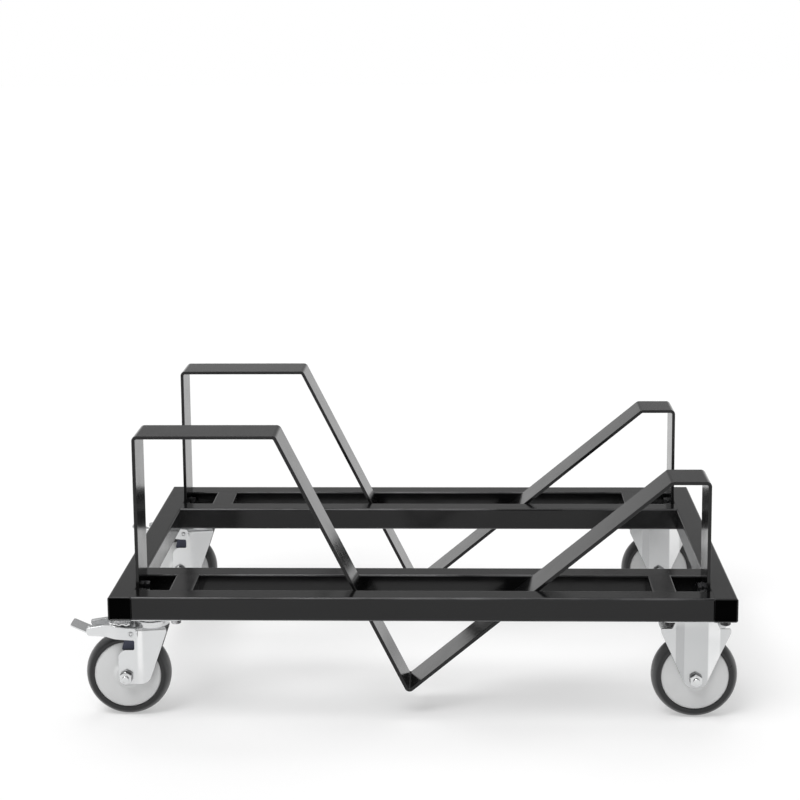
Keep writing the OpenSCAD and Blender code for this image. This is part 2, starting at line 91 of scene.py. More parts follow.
def mixedColours(tree, share, first, second):
    mix = tree.nodes.new("ShaderNodeMix")
    mix.data_type = "RGBA"
    tree.links.new(share, mix.inputs["Factor"])
    for number, colour in ((6, first), (7, second)):    # the node's two colour inputs
        if isinstance(colour, tuple):
            mix.inputs[number].default_value = (*colour, 1.0)
        else:
            tree.links.new(colour, mix.inputs[number])
    return mix.outputs[2]    # its colour output


def newFinish(name, look):
    material = bpy.data.materials.new(name)
    material.use_nodes = True
    tree = material.node_tree
    shader = tree.nodes["Principled BSDF"]
    place = tree.nodes.new("ShaderNodeTexCoord").outputs["Object"]
    cloudScale, rubAndSheenScale, glossScale, grainScale = look["scales"]
    cloud = noiseBetween(tree, place, cloudScale, 0.0, 1.0)
    colour = mixedColours(tree, cloud, look["dark"], look["light"])
    # painted shade: towards the dark tone wherever a surface's shade share is set
    if "dulled" in look:
        colour = mixedColours(tree, pointShare(tree, "dull"), colour, look["dulled"])
    # wear and painted highlight: towards the rubbed tone wherever a surface's wear share is set, clouded by
    # noise
    rubAndSheenMix = tree.nodes.new("ShaderNodeMath")
    rubAndSheenMix.operation = "MULTIPLY"
    tree.links.new(pointShare(tree, "worn"), rubAndSheenMix.inputs[0])
    tree.links.new(noiseBetween(tree, place, rubAndSheenScale, *look["rubShare"]), rubAndSheenMix.inputs[1])
    colour = mixedColours(tree, rubAndSheenMix.outputs["Value"], colour, look["rubbed"])
    tree.links.new(colour, shader.inputs["Base Color"])
    gloss = noiseBetween(tree, place, glossScale, *look["roughness"])
    tree.links.new(gloss, shader.inputs["Roughness"])
    bump = tree.nodes.new("ShaderNodeBump")
    bump.inputs["Strength"].default_value = 1.0
    bump.inputs["Distance"].default_value = look["grainHeight"]
    tree.links.new(noiseBetween(tree, place, grainScale, 0.0, 1.0), bump.inputs["Height"])
    tree.links.new(bump.outputs["Normal"], shader.inputs["Normal"])
    shader.inputs["Metallic"].default_value = look["metallic"]
    shader.inputs["Specular IOR Level"].default_value = look["specular"]
    return material


finishLooks = {
    # scales: how fine the clouds, the rubbing and painted highlight, the gloss and the grain are; rubbed is
    # the tone of wear and painted highlight
    "powder_coat": {
        # rubbed edges are part wear, part a painted highlight along the tubes' and straps' edges
        "dark": (0.003, 0.003, 0.0032), "light": (0.0055, 0.0055, 0.0058), "rubbed": (0.115, 0.115, 0.118),
        "rubShare": (0.0, 1.0), "roughness": (0.13, 0.19), "metallic": 0.0, "specular": 0.34,
        "scales": (5.0, 9.0, 30.0, 430.0), "grainHeight": 6e-6,
    },
    "plug": {
        "dark": (0.0002, 0.0002, 0.0002), "light": (0.0007, 0.0007, 0.0007), "rubbed": (0.004, 0.004, 0.004),
        "rubShare": (0.0, 0.5), "roughness": (0.62, 0.75), "metallic": 0.0, "specular": 0.015,
        "scales": (60.0, 90.0, 120.0, 900.0), "grainHeight": 1.5e-5,
    },
    "dark_screw": {
        # rubbed: the swivel casters' heads take this tone whole as painted light, other heads at their
        # corners as a painted highlight
        "dark": (0.012, 0.012, 0.013), "light": (0.03, 0.03, 0.032), "rubbed": (0.62, 0.62, 0.63),
        "rubShare": (0.0, 1.0), "roughness": (0.26, 0.38), "metallic": 0.6, "specular": 0.5,
        "scales": (120.0, 160.0, 160.0, 1200.0), "grainHeight": 5e-6,
    },
    "zinc": {
        "dark": (0.69, 0.7, 0.705), "light": (0.735, 0.74, 0.745), "rubbed": (0.97, 0.97, 0.97),
        # dulled is the tone of painted shade: fixed fork legs, under their plates, the axle hexagons' sides
        # as a painted dark reflection, the rivets; rubbed is the painted highlight on creases, facets, bends
        # and rims
        "dulled": (0.07, 0.072, 0.075),
        "rubShare": (0.0, 1.0), "roughness": (0.18, 0.23), "metallic": 0.8, "specular": 0.5,
        "scales": (16.0, 12.0, 24.0, 700.0), "grainHeight": 2e-6,
    },
    "steel": {
        "dark": (0.46, 0.46, 0.47), "light": (0.6, 0.6, 0.61), "rubbed": (0.7, 0.7, 0.71),
        "rubShare": (0.0, 0.5), "roughness": (0.22, 0.32), "metallic": 1.0, "specular": 0.5,
        "scales": (80.0, 90.0, 120.0, 900.0), "grainHeight": 4e-6,
    },
    "blued_spring_steel": {
        "dark": (0.032, 0.035, 0.05), "light": (0.062, 0.065, 0.088), "rubbed": (0.16, 0.16, 0.19),
        "rubShare": (0.0, 0.5), "roughness": (0.26, 0.36), "metallic": 0.9, "specular": 0.5,
        "scales": (55.0, 90.0, 90.0, 800.0), "grainHeight": 4e-6,
    },
    "wheel_centre": {
        "dark": (0.61, 0.615, 0.615), "light": (0.65, 0.655, 0.655), "rubbed": (0.5, 0.5, 0.5),
        "rubShare": (0.0, 0.4), "roughness": (0.38, 0.48), "metallic": 0.0, "specular": 0.4,
        "scales": (22.0, 70.0, 60.0, 950.0), "grainHeight": 1.2e-5,
    },
    "tyre": {
        # rubbed: the tread lightens outwards, part wear and part a painted highlight on the crown
        "dark": (0.011, 0.0112, 0.012), "light": (0.018, 0.0182, 0.019), "rubbed": (0.17, 0.17, 0.172),
        "rubShare": (0.42, 0.72), "roughness": (0.27, 0.34), "metallic": 0.0, "specular": 0.42,
        "scales": (30.0, 45.0, 50.0, 820.0), "grainHeight": 8e-6,
    },
    "bush": {
        "dark": (0.012, 0.012, 0.013), "light": (0.022, 0.022, 0.023), "rubbed": (0.04, 0.04, 0.04),
        "rubShare": (0.0, 0.4), "roughness": (0.36, 0.46), "metallic": 0.0, "specular": 0.4,
        "scales": (70.0, 80.0, 90.0, 900.0), "grainHeight": 8e-6,
    },
}
finishes = {name: newFinish(name, look) for name, look in finishLooks.items()}
print("finishes made:", len(finishes))


# Surfaces: grids of points in drawing millimetres, joined into pieces

def gridQuads(rows, columns, wrapRows, wrapColumns):
    # a quad joins each point to the next row, the next row and column, and the next column
    row = np.arange(rows if wrapRows else rows - 1)[:, None]
    column = np.arange(columns if wrapColumns else columns - 1)[None, :]
    below = (row + 1) % rows * columns
    beside = (column + 1) % columns
    corners = (row * columns + column, below + column, below + beside, row * columns + beside)
    return np.stack(np.broadcast_arrays(*corners), -1).reshape(-1, 4)


def gridSurface(points, wrapRows=False, wrapColumns=False, capped=False, worn=0.0, dull=0.0):
    # quads between neighbouring points, caps over the end rows, and each point's share of wear and painted
    # highlight and its share of painted shade
    rows, columns = points.shape[:2]
    firstRow = np.arange(columns)
    return {
        "points": points.reshape(-1, 3),
        "quads": gridQuads(rows, columns, wrapRows, wrapColumns),
        "caps": [firstRow[::-1], firstRow + (rows - 1) * columns] if capped else [],
        "worn": np.broadcast_to(worn, (rows, columns)).reshape(-1),
        "dull": np.broadcast_to(dull, (rows, columns)).reshape(-1),
    }


def addObject(name, data):
    thing = bpy.data.objects.new(name, data)
    bpy.context.scene.collection.objects.link(thing)
    return thing


weldDistance = 1e-7    # points this close, in metres, become one
sharpAngle = 35.0      # an edge that turns by more degrees stays sharp


def makePiece(name, surfaces, body, replaced, finish):
    # the surfaces' points one after another, with each surface's quads and caps counted from its start
    starts = np.cumsum([0] + [len(surface["points"]) for surface in surfaces])
    points = toMetres(np.concatenate([surface["points"] for surface in surfaces]))
    quads = np.concatenate([surface["quads"] + start for surface, start in zip(surfaces, starts)])
    caps = [(cap + start).tolist() for surface, start in zip(surfaces, starts) for cap in surface["caps"]]
    mesh = bpy.data.meshes.new(name)
    mesh.from_pydata(points.tolist(), [], quads.tolist() + caps)
    # each point's share of wear and painted highlight, and of painted shade, kept as attributes for the
    # finish
    for share in ("worn", "dull"):
        values = np.concatenate([surface[share] for surface in surfaces]).astype(np.float32)
        mesh.attributes.new(share, "FLOAT", "POINT").data.foreach_set("value", values)
    shell = bmesh.new()
    shell.from_mesh(mesh)
    bmesh.ops.remove_doubles(shell, verts=shell.verts, dist=weldDistance)
    bmesh.ops.recalc_face_normals(shell, faces=shell.faces)
    shell.to_mesh(mesh)
    shell.free()
    mesh.polygons.foreach_set("use_smooth", np.ones(len(mesh.polygons), bool))
    mesh.set_sharp_from_angle(angle=math.radians(sharpAngle))
    mesh.materials.append(finishes[finish])
    piece = addObject(name, mesh)
    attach(piece, body)
    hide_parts(*replaced)


# Directions a turned form can point in, as matrices that carry its own z axis there
pointing = {
    "down": ((1, 0, 0), (0, -1, 0), (0, 0, -1)),
    "right": ((0, 0, 1), (0, 1, 0), (-1, 0, 0)),
    "left": ((0, 0, -1), (0, 1, 0), (1, 0, 0)),
    "front": ((1, 0, 0), (0, 0, -1), (0, 1, 0)),
    "back": ((1, 0, 0), (0, 0, 1), (0, -1, 0)),
}


def setAt(surface, direction, places, spinStep=0.0):
    # one copy at every place, each spun a little further about its own axis: turned points plus place
    made = []
    for number, place in enumerate(places):
        spin = np.array(Matrix.Rotation(number * spinStep, 3, "Z"))
        turn = np.array(pointing[direction], float) @ spin
        made.append(dict(surface, points=surface["points"] @ turn.T + place))
    return made


def aroundAxis(radius, angle, height):
    # radius times cosine, radius times sine and height at every angle
    return np.stack(np.broadcast_arrays(radius * np.cos(angle), radius * np.sin(angle), height), -1)


def turnedForm(profile, closed, steps, worn=0.0, dull=0.0):
    # a profile of radius and height carried round the z axis
    profile = np.asarray(profile, float)
    angle = np.linspace(0, 2 * np.pi, steps, endpoint=False)
    points = aroundAxis(profile[:, :1], angle, profile[:, 1:])
    return gridSurface(points, wrapRows=closed, wrapColumns=True, capped=not closed, worn=worn, dull=dull)


straightGuard = 0.1    # distance from the end of an arc to the point that holds the straight beside it


def roundedRectangle(width, height, radius, steps):
    # four quarter circles: corner centre plus radius times (cosine, sine), quarter after quarter, with
    # one more point on the straight beside each end, so that the flats are shaded flat
    quarter = np.repeat(np.arange(4), steps + 3)
    swing = np.concatenate([[0], np.linspace(0, 90, steps + 1), [90]])
    turn = np.radians(90.0 * quarter + np.tile(swing, 4))
    beside = np.tile(np.concatenate([[-straightGuard], np.zeros(steps + 1), [straightGuard]]), 4)
    signs = np.array([[1, 1], [-1, 1], [-1, -1], [1, -1]])
    centre = signs[quarter] * (np.array([width, height]) / 2 - radius)
    outward = np.stack([np.cos(turn), np.sin(turn)], -1)
    onward = np.stack([-np.sin(turn), np.cos(turn)], -1)
    return centre + radius * outward + beside[:, None] * onward


def insetSections(width, height, corner, steps, insets, leastCorner=0.0):
    # the rounded rectangle drawn in from all sides by each inset in turn
    return np.stack([
        roundedRectangle(width - 2 * inset, height - 2 * inset, max(corner - inset, leastCorner), steps)
        for inset in insets
    ])


def stackedSections(sections, heights):
    # each section's points at that section's own height
    height = np.broadcast_to(heights[:, None], sections.shape[:2])
    return np.concatenate([sections, height[..., None]], -1)


def cornerWeight(steps):
    # one in the middle of each quarter circle, nothing at its ends: sine of twice the angle
    return np.tile(np.concatenate([[0], np.sin(np.linspace(0, np.pi, steps + 1)), [0]]), 4)


def roundedCorners(corners, radii, steps, closed):
    # each corner gives way to a circle that touches both edges: centre less radius times the
    # normal, as the direction turns from one edge to the next; gives points and directions
    corners = np.asarray(corners, float)
    radii = np.broadcast_to(np.asarray(radii, float), len(corners))
    before = np.roll(corners, 1, axis=0)
    after = np.roll(corners, -1, axis=0)
    inDirection = np.arctan2(*(corners - before).T[::-1])
    outDirection = np.arctan2(*(after - corners).T[::-1])
    bend = (outDirection - inDirection + np.pi) % (2 * np.pi) - np.pi
    side = np.sign(bend)
    setback = radii * np.tan(np.abs(bend) / 2)
    inward = np.stack([np.cos(inDirection), np.sin(inDirection)], -1)
    normal = np.stack([-np.sin(inDirection), np.cos(inDirection)], -1)
    centre = corners - setback[:, None] * inward + (radii * side)[:, None] * normal
    direction = inDirection[:, None] + bend[:, None] * np.linspace(0, 1, steps + 1)
    turnedNormal = np.stack([-np.sin(direction), np.cos(direction)], -1)
    arcs = centre[:, None] - (radii * side)[:, None, None] * turnedNormal
    if closed:
        return arcs.reshape(-1, 2), direction.reshape(-1)
    ahead = straightGuard * np.stack([np.cos(direction), np.sin(direction)], -1)
    arcs = np.concatenate([arcs[:, :1] - ahead[:, :1], arcs, arcs[:, -1:] + ahead[:, -1:]], 1)
    direction = np.concatenate([direction[:, :1], direction, direction[:, -1:]], 1)
    path = np.concatenate([corners[:1], arcs[1:-1].reshape(-1, 2), corners[-1:]])
    turns = np.concatenate([outDirection[:1], direction[1:-1].reshape(-1), inDirection[-1:]])
    return path, turns


def outlineSpans(corners, radii, steps, axis, rows):
    # both sides of a closed outline at rising stations along one axis, read straight between its points
    outline, _ = roundedCorners(corners, radii, steps, closed=True)
    hair = 0.02         # least rise from one point of a side to the next, so that level edges count too
    edgeTrim = 0.03     # how far the first and last stations stay inside
    samePoint = 1e-6    # points closer than this are one
    loop = outline[np.linalg.norm(outline - np.roll(outline, 1, axis=0), axis=1) > samePoint]
    loop = np.roll(loop, -np.argmin(loop[:, axis]), axis=0)
    top = np.argmax(loop[:, axis])
    sides = (loop[:top + 1], np.concatenate([loop[top:], loop[:1]])[::-1])
    rising = []
    for side in sides:
        step = hair * np.arange(len(side))
        rising.append(np.maximum.accumulate(side[:, axis] - step) + step)
    low, high = loop[:, axis].min() + edgeTrim, loop[:, axis].max() - edgeTrim
    stations = np.sort(np.concatenate([*rising, np.linspace(low, high, rows)]))
    stations = stations[(stations >= low) & (stations <= high)]
    stations = stations[np.concatenate([[True], np.diff(stations) > hair / 2])]
    edges = [np.interp(stations, rise, side[:, 1 - axis]) for rise, side in zip(rising, sides)]
    return stations, np.minimum(*edges), np.maximum(*edges)


def spreadAcross(low, high, columns):
    # equal shares of the way from one side to the other
    return low[:, None] + (high - low)[:, None] * np.linspace(0, 1, columns)


def lengthAlong(path):
    # distance from the start to each point: the steps between points, summed
    return np.concatenate([[0], np.cumsum(np.linalg.norm(np.diff(path, axis=0), axis=1))])


sheetLook = {
    "rimSwell": 0.3, "rimTurns": (45.0, 90.0, 135.0),
    "nudge": 0.05,    # step over which a face's slope is measured
}


def pressedSheet(shape, across, along, thickness, rubbed=0.0, dulled=0.0):
    # shape(across, along) is one face; the other lies a thickness behind it along the normal,
    # and half an ellipse closes the rim: half thickness times cosine, swell times sine
    nudge = sheetLook["nudge"]
    along = np.broadcast_to(along, across.shape)
    face = shape(across, along).reshape(-1, 3)
    alongStep = shape(across, along + nudge) - shape(across, along - nudge)
    acrossStep = shape(across + nudge, along) - shape(across - nudge, along)
    normal = np.cross(acrossStep, alongStep).reshape(-1, 3)
    normal /= np.linalg.norm(normal, axis=-1, keepdims=True)
    rows, columns = across.shape
    count = rows * columns
    number = np.arange(count).reshape(rows, columns)
    border = np.concatenate([number[0, :-1], number[:-1, -1], number[-1, :0:-1], number[:0:-1, 0]])
    inside = np.concatenate([number[1, :-1], number[:-1, -2], number[-2, :0:-1], number[:0:-1, 1]])
    outward = face[border] - face[inside]
    outward /= np.linalg.norm(outward, axis=-1, keepdims=True)
    middle = face[border] - thickness / 2 * normal[border]
    turn = np.radians(sheetLook["rimTurns"])[:, None, None]
    rim = middle + thickness / 2 * np.cos(turn) * normal[border]
    rim = (rim + sheetLook["rimSwell"] * np.sin(turn) * outward).reshape(-1, 3)
    rings = [border, *(2 * count + np.arange(len(rim)).reshape(-1, len(border))), border + count]
    quads = gridQuads(rows, columns, False, False)
    bands = [
        np.stack([one, np.roll(one, -1), np.roll(two, -1), two], -1) for one, two in zip(rings, rings[1:])
    ]
    # the faces take the given shares; the rims take the full rubbed tone, part wear and part a painted
    # highlight along every sheet edge
    faceWearAndSheen, facePaintedShade = (np.broadcast_to(share, across.shape).reshape(-1) for share in (rubbed, dulled))
    return {
        "points": np.concatenate([face, face - thickness * normal, rim]),
        "quads": np.concatenate([quads, quads[:, ::-1] + count, *bands]),
        "caps": [],
        "worn": np.concatenate([faceWearAndSheen, faceWearAndSheen, np.ones(len(rim))]),
        "dull": np.concatenate([facePaintedShade, facePaintedShade, np.zeros(len(rim))]),
    }


def casterAt(parts, x, y):
    # every point of every part plus the caster's place
    return [dict(part, points=part["points"] + (x, y, 0.0)) for part in parts]


def farSide(surface):
    # the same form beyond the wheel: y times minus one
    return dict(surface, points=surface["points"] * (1.0, -1.0, 1.0))


# Base: square tubes, with the crossing tubes ground flush where they meet

tubeLook = {
    "corner": 3.0, "wall": 2.0, "arcSteps": 8,
    "lap": 2.0,        # a welded end runs into the next tube's wall, so no groove shows
    "mouth": 18.0,     # depth of wall drawn inside an open end
    "edgeBreak": 0.3,
    "leastCorner": 0.6,
    "edgeShine": (1.0, 0.15),    # how far edges are rubbed and lit by a painted highlight, on long tubes and on those front to back
}


def squareTube(node, axis, openEnds):
    # the section carried along one axis; at an open end it turns in over the wall
    low, high = nodeBox(node)
    one, two = (k for k in range(3) if k != axis)
    middle, size = (low + high) / 2, high - low
    wall, edge = tubeLook["wall"], tubeLook["edgeBreak"]
    if openEnds:
        end = [(tubeLook["mouth"], wall), (edge, wall), (0.0, wall - edge), (0.0, edge), (edge, 0.0)]
    else:
        end = [(-tubeLook["lap"], 0.0)]
    depths, insets = np.array(end).T
    stations = np.concatenate([depths, size[axis] - depths[::-1]])
    sections = insetSections(
        size[one], size[two], tubeLook["corner"], tubeLook["arcSteps"],
        (*insets, *insets[::-1]), tubeLook["leastCorner"],
    )
    points = np.zeros((*sections.shape[:2], 3))
    points[..., axis] = low[axis] + stations[:, None]
    points[..., one] = middle[one] + sections[..., 0]
    points[..., two] = middle[two] + sections[..., 1]
    # painted highlight along the rounded edges, part wear, strongest in the middle of each corner
    worn = tubeLook["edgeShine"][axis] * cornerWeight(tubeLook["arcSteps"])
    return gridSurface(points, wrapColumns=True, capped=True, worn=worn)


tubePieces = {    # the axis that each runs along, and whether its ends are open
    "left_side_rail": (1, True), "right_side_rail": (1, True),
    "front_outer_rail": (0, False), "front_inner_rail": (0, False),
    "rear_inner_rail": (0, False), "rear_outer_rail": (0, False),
    "front_left_spacer": (1, False), "front_right_spacer": (1, False),
    "rear_left_spacer": (1, False), "rear_right_spacer": (1, False),
}
for node, (axis, openEnds) in tubePieces.items():
    name = node[0] + node.title().replace("_", "")[1:]
    makePiece(name, [squareTube(node, axis, openEnds)], "frame", [node], "powder_coat")

plugLook = {
    "width": 30.8, "corner": 1.0, "arcSteps": 5,
    "middles": (17.5, 882.5), "height": 174.5, "ends": {"front": 0.0, "back": 600.0},
    # distance from the tube's end and inset of the section, from the back of the plug to its face
    "face": ((14.0, 0.0), (1.1, 0.0), (0.75, 0.1), (0.55, 0.4), (0.5, 1.0), (0.42, 6.0), (0.4, 10.0)),
}


def endPlug():
    # the tube's inside section carried towards the end, drawn in at the face
    depths, insets = np.array(plugLook["face"]).T
    width, corner = plugLook["width"], plugLook["corner"]
    sections = insetSections(width, width, corner, plugLook["arcSteps"], insets, leastCorner=corner)
    return gridSurface(stackedSections(sections, -depths), wrapColumns=True, capped=True)


plugSurface = endPlug()
plugs = []
for direction, y in plugLook["ends"].items():
    plugs += setAt(plugSurface, direction, [(x, y, plugLook["height"]) for x in plugLook["middles"]])
makePiece("endPlugs", plugs, "frame", ["end_plugs"], "plug")
print("base made")


# Cradles: one flat bar bent from foot to foot

strapLook = {
    "width": 70.0, "thickness": 5.0, "edge": 0.7, "edgeSteps": 3, "edgeShine": 0.2,
    "bendInside": 2.5, "bendSteps": 10,
    "uprights": (37.5, 862.5), "footHeight": 160.0, "leftBar": 417.5, "rightBar": 350.5,
    "leftSlope": 63.5, "rightSlope": 39.5, "lowX": 429.0, "lowClear": 38.0,
    "middles": {"front": 70.5, "rear": 529.5},
}


def strapPath():
    # the lowest corner is set so that the outside of its bend clears the floor by lowClear
    half = math.radians((180 - strapLook["leftSlope"] - strapLook["rightSlope"]) / 2)
    tilt = math.radians((strapLook["leftSlope"] - strapLook["rightSlope"]) / 2)
    outside = strapLook["bendInside"] + strapLook["thickness"]
    reach = strapLook["thickness"] / 2 / math.sin(half)
    cornerZ = strapLook["lowClear"] - outside * (math.cos(tilt) / math.sin(half) - 1)
    lowX = strapLook["lowX"] + reach * math.sin(tilt)
    lowZ = cornerZ + reach * math.cos(tilt)
    left, right = strapLook["uprights"]
    foot, leftBar, rightBar = strapLook["footHeight"], strapLook["leftBar"], strapLook["rightBar"]
    leftTop = lowX - (leftBar - lowZ) / math.tan(math.radians(strapLook["leftSlope"]))
    rightTop = lowX + (rightBar - lowZ) / math.tan(math.radians(strapLook["rightSlope"]))
    return [
        (left, foot), (left, leftBar), (leftTop, leftBar), (lowX, lowZ),
        (rightTop, rightBar), (right, rightBar), (right, foot),
    ]


def bentStrap(middle):
    # the bar's section carried along the bent centre line, square to its direction
    radius = strapLook["bendInside"] + strapLook["thickness"] / 2
    path, turns = roundedCorners(strapPath(), radius, strapLook["bendSteps"], closed=False)
    section = roundedRectangle(
        strapLook["thickness"], strapLook["width"], strapLook["edge"], strapLook["edgeSteps"]
    )
    off, wide = section[None, :, 0], section[None, :, 1]
    x = path[:, :1] - off * np.sin(turns)[:, None]
    z = path[:, 1:] + off * np.cos(turns)[:, None]
    points = np.stack(np.broadcast_arrays(x, middle + wide, z), -1)
    # painted highlight along the strap's rounded edges, part wear
    worn = strapLook["edgeShine"] * cornerWeight(strapLook["edgeSteps"])
    return gridSurface(points, wrapColumns=True, capped=True, worn=worn)


for end, middle in strapLook["middles"].items():
    makePiece(f"{end}CradleStrap", [bentStrap(middle)], "frame", [f"{end}_cradle_strap"], "powder_coat")
print("cradles made")


# Fasteners

hexagonLook = {
    "flatTop": 0.96, "shineFrom": 1.1,    # radii as shares of half the width across flats
    "rows": 10, "steps": 96,
}
threadLook = {"pitch": 1.5, "depth": 0.5, "chamfer": 0.8, "rows": 44, "steps": 64}
washerLook = {"outer": 8.0, "inner": 4.5, "thickness": 1.6, "edge": 0.25, "steps": 64}
shankSteps = 48


def hexagonHead(corner, height, chamfers, cornerShine, rubbed=0.0, sideDull=0.0):
    # radius at each angle and height is the smaller of the hexagon's and of a 30 degree cone
    # that cuts its corners at the top, and at the bottom too where chamfers is 2
    flat = corner * math.cos(math.pi / 6)
    flatTop = flat * hexagonLook["flatTop"]
    angle = np.linspace(0, 2 * np.pi, hexagonLook["steps"], endpoint=False)
    hexagon = flat / np.cos((angle + np.pi / 6) % (np.pi / 3) - np.pi / 6)
    cut = (corner - flatTop) * math.tan(math.pi / 6)
    edge = np.linspace(0, cut, hexagonLook["rows"])
    low = edge if chamfers == 2 else edge[:1]
    level = np.concatenate([low, height - edge[::-1]])
    fromEnd = height - level if chamfers == 1 else np.minimum(level, height - level)
    cone = flatTop + fromEnd / math.tan(math.pi / 6)
    radius = np.minimum(hexagon[None, :], cone[:, None])
    # corners beyond shineFrom take a painted highlight; the flat sides darken as a painted dark reflection of
    # the frame above
    worn = np.maximum((radius > flat * hexagonLook["shineFrom"]) * cornerShine, rubbed)
    dull = sideDull * (cone[:, None] >= hexagon[None, :])
    points = aroundAxis(radius, angle, level[:, None])
    return gridSurface(points, wrapColumns=True, capped=True, worn=worn, dull=dull)


def washerRing():
    # a ring with its outer edges broken, turned about the screw
    outer, inner, thickness, edge, steps = washerLook.values()
    return turnedForm([
        (inner, 0.0), (outer - edge, 0.0), (outer, edge), (outer, thickness - edge),
        (outer - edge, thickness), (inner, thickness),
    ], closed=True, steps=steps)


def plainShank(radius, length):
    # a cylinder from the head's underside down
    return turnedForm([(radius, -length), (radius, 0.0)], closed=False, steps=shankSteps)


def threadedEnd(radius, length):
    # a thread as radius less depth times a triangle wave of height over pitch less the angle's share
    # of a turn, with a cone at the end
    level = np.linspace(0, length, threadLook["rows"])[:, None]
    angle = np.linspace(0, 2 * np.pi, threadLook["steps"], endpoint=False)[None, :]
    wave = np.abs(2 * ((level / threadLook["pitch"] - angle / (2 * np.pi)) % 1.0) - 1)
    cone = radius - np.maximum(level - (length - threadLook["chamfer"]), 0)
    reach = np.minimum(radius - threadLook["depth"] * wave, cone)
    return gridSurface(aroundAxis(reach, angle, level), wrapColumns=True, capped=True)


# Where the casters stand, and the underside of their plates
swivelX = 55.0
fixedX = 845.0
ends = {"front": 50.0, "rear": 550.0}
plateBottom = 154.0

screwLook = {
    "head": 7.5, "headHeight": 5.3, "shank": 4.0, "cornerShine": 0.08,
    "spin": 2.4,    # radians from one head to the next
    "strapFaces": {"right": 40.0, "left": 860.0}, "strapHeight": 180.0, "strapPitch": 35.0,
    "strapShank": 16.0,
    "alongPlate": 40.0, "acrossPlate": 30.0, "casterShank": 14.0,
    "casterRubbed": (1.0, 0.0),    # painted light: heads lit bright at the swivel casters, left dark at the fixed casters
}


def screwHead(rubbed=0.0):
    return hexagonHead(
        screwLook["head"], screwLook["headHeight"], chamfers=1,
        cornerShine=screwLook["cornerShine"], rubbed=rubbed,
    )


washerSurface = washerRing()
strapShank = plainShank(screwLook["shank"], screwLook["strapShank"])
casterShank = plainShank(screwLook["shank"], screwLook["casterShank"])
strapHeads = []
strapWashers = []
for direction, faceX in screwLook["strapFaces"].items():
    sign = 1.0 if direction == "right" else -1.0
    footPlaces = [
        (faceX, middle + offset * screwLook["strapPitch"], screwLook["strapHeight"])
        for middle in strapLook["middles"].values() for offset in (-0.5, 0.5)
    ]
    headPlaces = [(x + sign * washerLook["thickness"], y, z) for x, y, z in footPlaces]
    strapWashers += setAt(washerSurface, direction, footPlaces)
    strapHeads += setAt(screwHead(), direction, headPlaces, screwLook["spin"])
    strapHeads += setAt(strapShank, direction, headPlaces)
makePiece("strapScrews", strapHeads, "frame", ["strap_screws"], "dark_screw")
makePiece("strapWashers", strapWashers, "frame", ["strap_washers"], "dark_screw")

casterHeads = []
casterWashers = []
# painted light: the swivel casters' heads take the rubbed tone as if lit, the fixed casters' stay dark
for casterX, rubbed in zip((swivelX, fixedX), screwLook["casterRubbed"]):
    platePlaces = [
        (casterX + sideX * screwLook["alongPlate"], y + sideY * screwLook["acrossPlate"], plateBottom)
        for y in ends.values() for sideX in (-1, 1) for sideY in (-1, 1)
    ]
    headPlaces = [(x, y, z - washerLook["thickness"]) for x, y, z in platePlaces]
    casterHeads += setAt(screwHead(rubbed), "down", headPlaces, screwLook["spin"])
    casterHeads += setAt(casterShank, "down", headPlaces)
    casterWashers += setAt(washerSurface, "down", platePlaces)
makePiece("casterScrews", casterHeads, "frame", ["caster_screws"], "dark_screw")
makePiece("casterWashers", casterWashers, "frame", ["caster_washers"], "dark_screw")
print("fasteners made")


# Caster plates and swivel heads

plateLook = {"length": 100.0, "width": 85.0, "corner": 8.0, "arcSteps": 10, "top": 157.0, "edge": 0.4}


def plateSurface(underDull=0.0):
    # the rounded rectangle carried upwards, drawn in a little at both faces
    top, edge = plateLook["top"], plateLook["edge"]
    levels = np.array([plateBottom, plateBottom + edge, top - edge, top])
    sections = insetSections(
        plateLook["length"], plateLook["width"], plateLook["corner"], plateLook["arcSteps"],
        (edge, 0.0, 0.0, edge),
    )
    # painted shade: the underside darkens where it is asked for
    dull = underDull * (levels[:, None] == plateBottom)
    return gridSurface(stackedSections(sections, levels), wrapColumns=True, capped=True, dull=dull)


headLook = {
    "radius": 24.7, "bore": 6.2, "edge": 0.8, "edgeSteps": 4, "steps": 128,
    "upper": (146.7, 154.05), "lower": (136.4, 145.1),
}


def headRing(bottom, top):
    # a ring with rounded outer edges, turned about the kingpin
    radius, edge = headLook["radius"], headLook["edge"]
    turn = np.radians(np.linspace(-90, 0, headLook["edgeSteps"] + 1))
    lower = np.stack([radius - edge + edge * np.cos(turn), bottom + edge + edge * np.sin(turn)], -1)
    upper = np.stack([lower[::-1, 0], bottom + top - lower[::-1, 1]], -1)
    bore = np.array([[headLook["bore"], top], [headLook["bore"], bottom]])
    return turnedForm(np.concatenate([lower, upper, bore]), closed=True, steps=headLook["steps"])


for end, y in ends.items():
    parts = casterAt([plateSurface(), headRing(*headLook["upper"])], swivelX, y)
    makePiece(f"{end}SwivelPlate", parts, "frame", [f"{end}_left_plate"], "zinc")


# Swivel forks: one sheet pressed into a bridge, with cheeks that turn inwards ahead of the axle

forkLook = {
    "half": 23.5, "sheet": 3.0, "top": 136.5, "shoulder": 6.0, "shoulderSteps": 10,
    "turn": 8.0, "creaseX": -15.0, "creaseSoft": 2.2, "creaseShine": 4.0,
    "outline": (
        (-38.0, 118.0), (-23.0, 118.0), (-23.0, 103.0), (-47.0, 103.0), (-47.0, 51.5), (-3.5, 51.5),
        (24.7, 133.5), (24.7, 136.5), (-38.0, 136.5),
    ),
    "radii": (5.0, 3.0, 3.0, 12.0, 11.0, 16.0, 4.0, 0.0, 3.0), "arcSteps": 8,
    "crownLeft": -38.0, "crownRight": 18.7, "rows": 60, "columns": 72, "crownRows": 40,
}


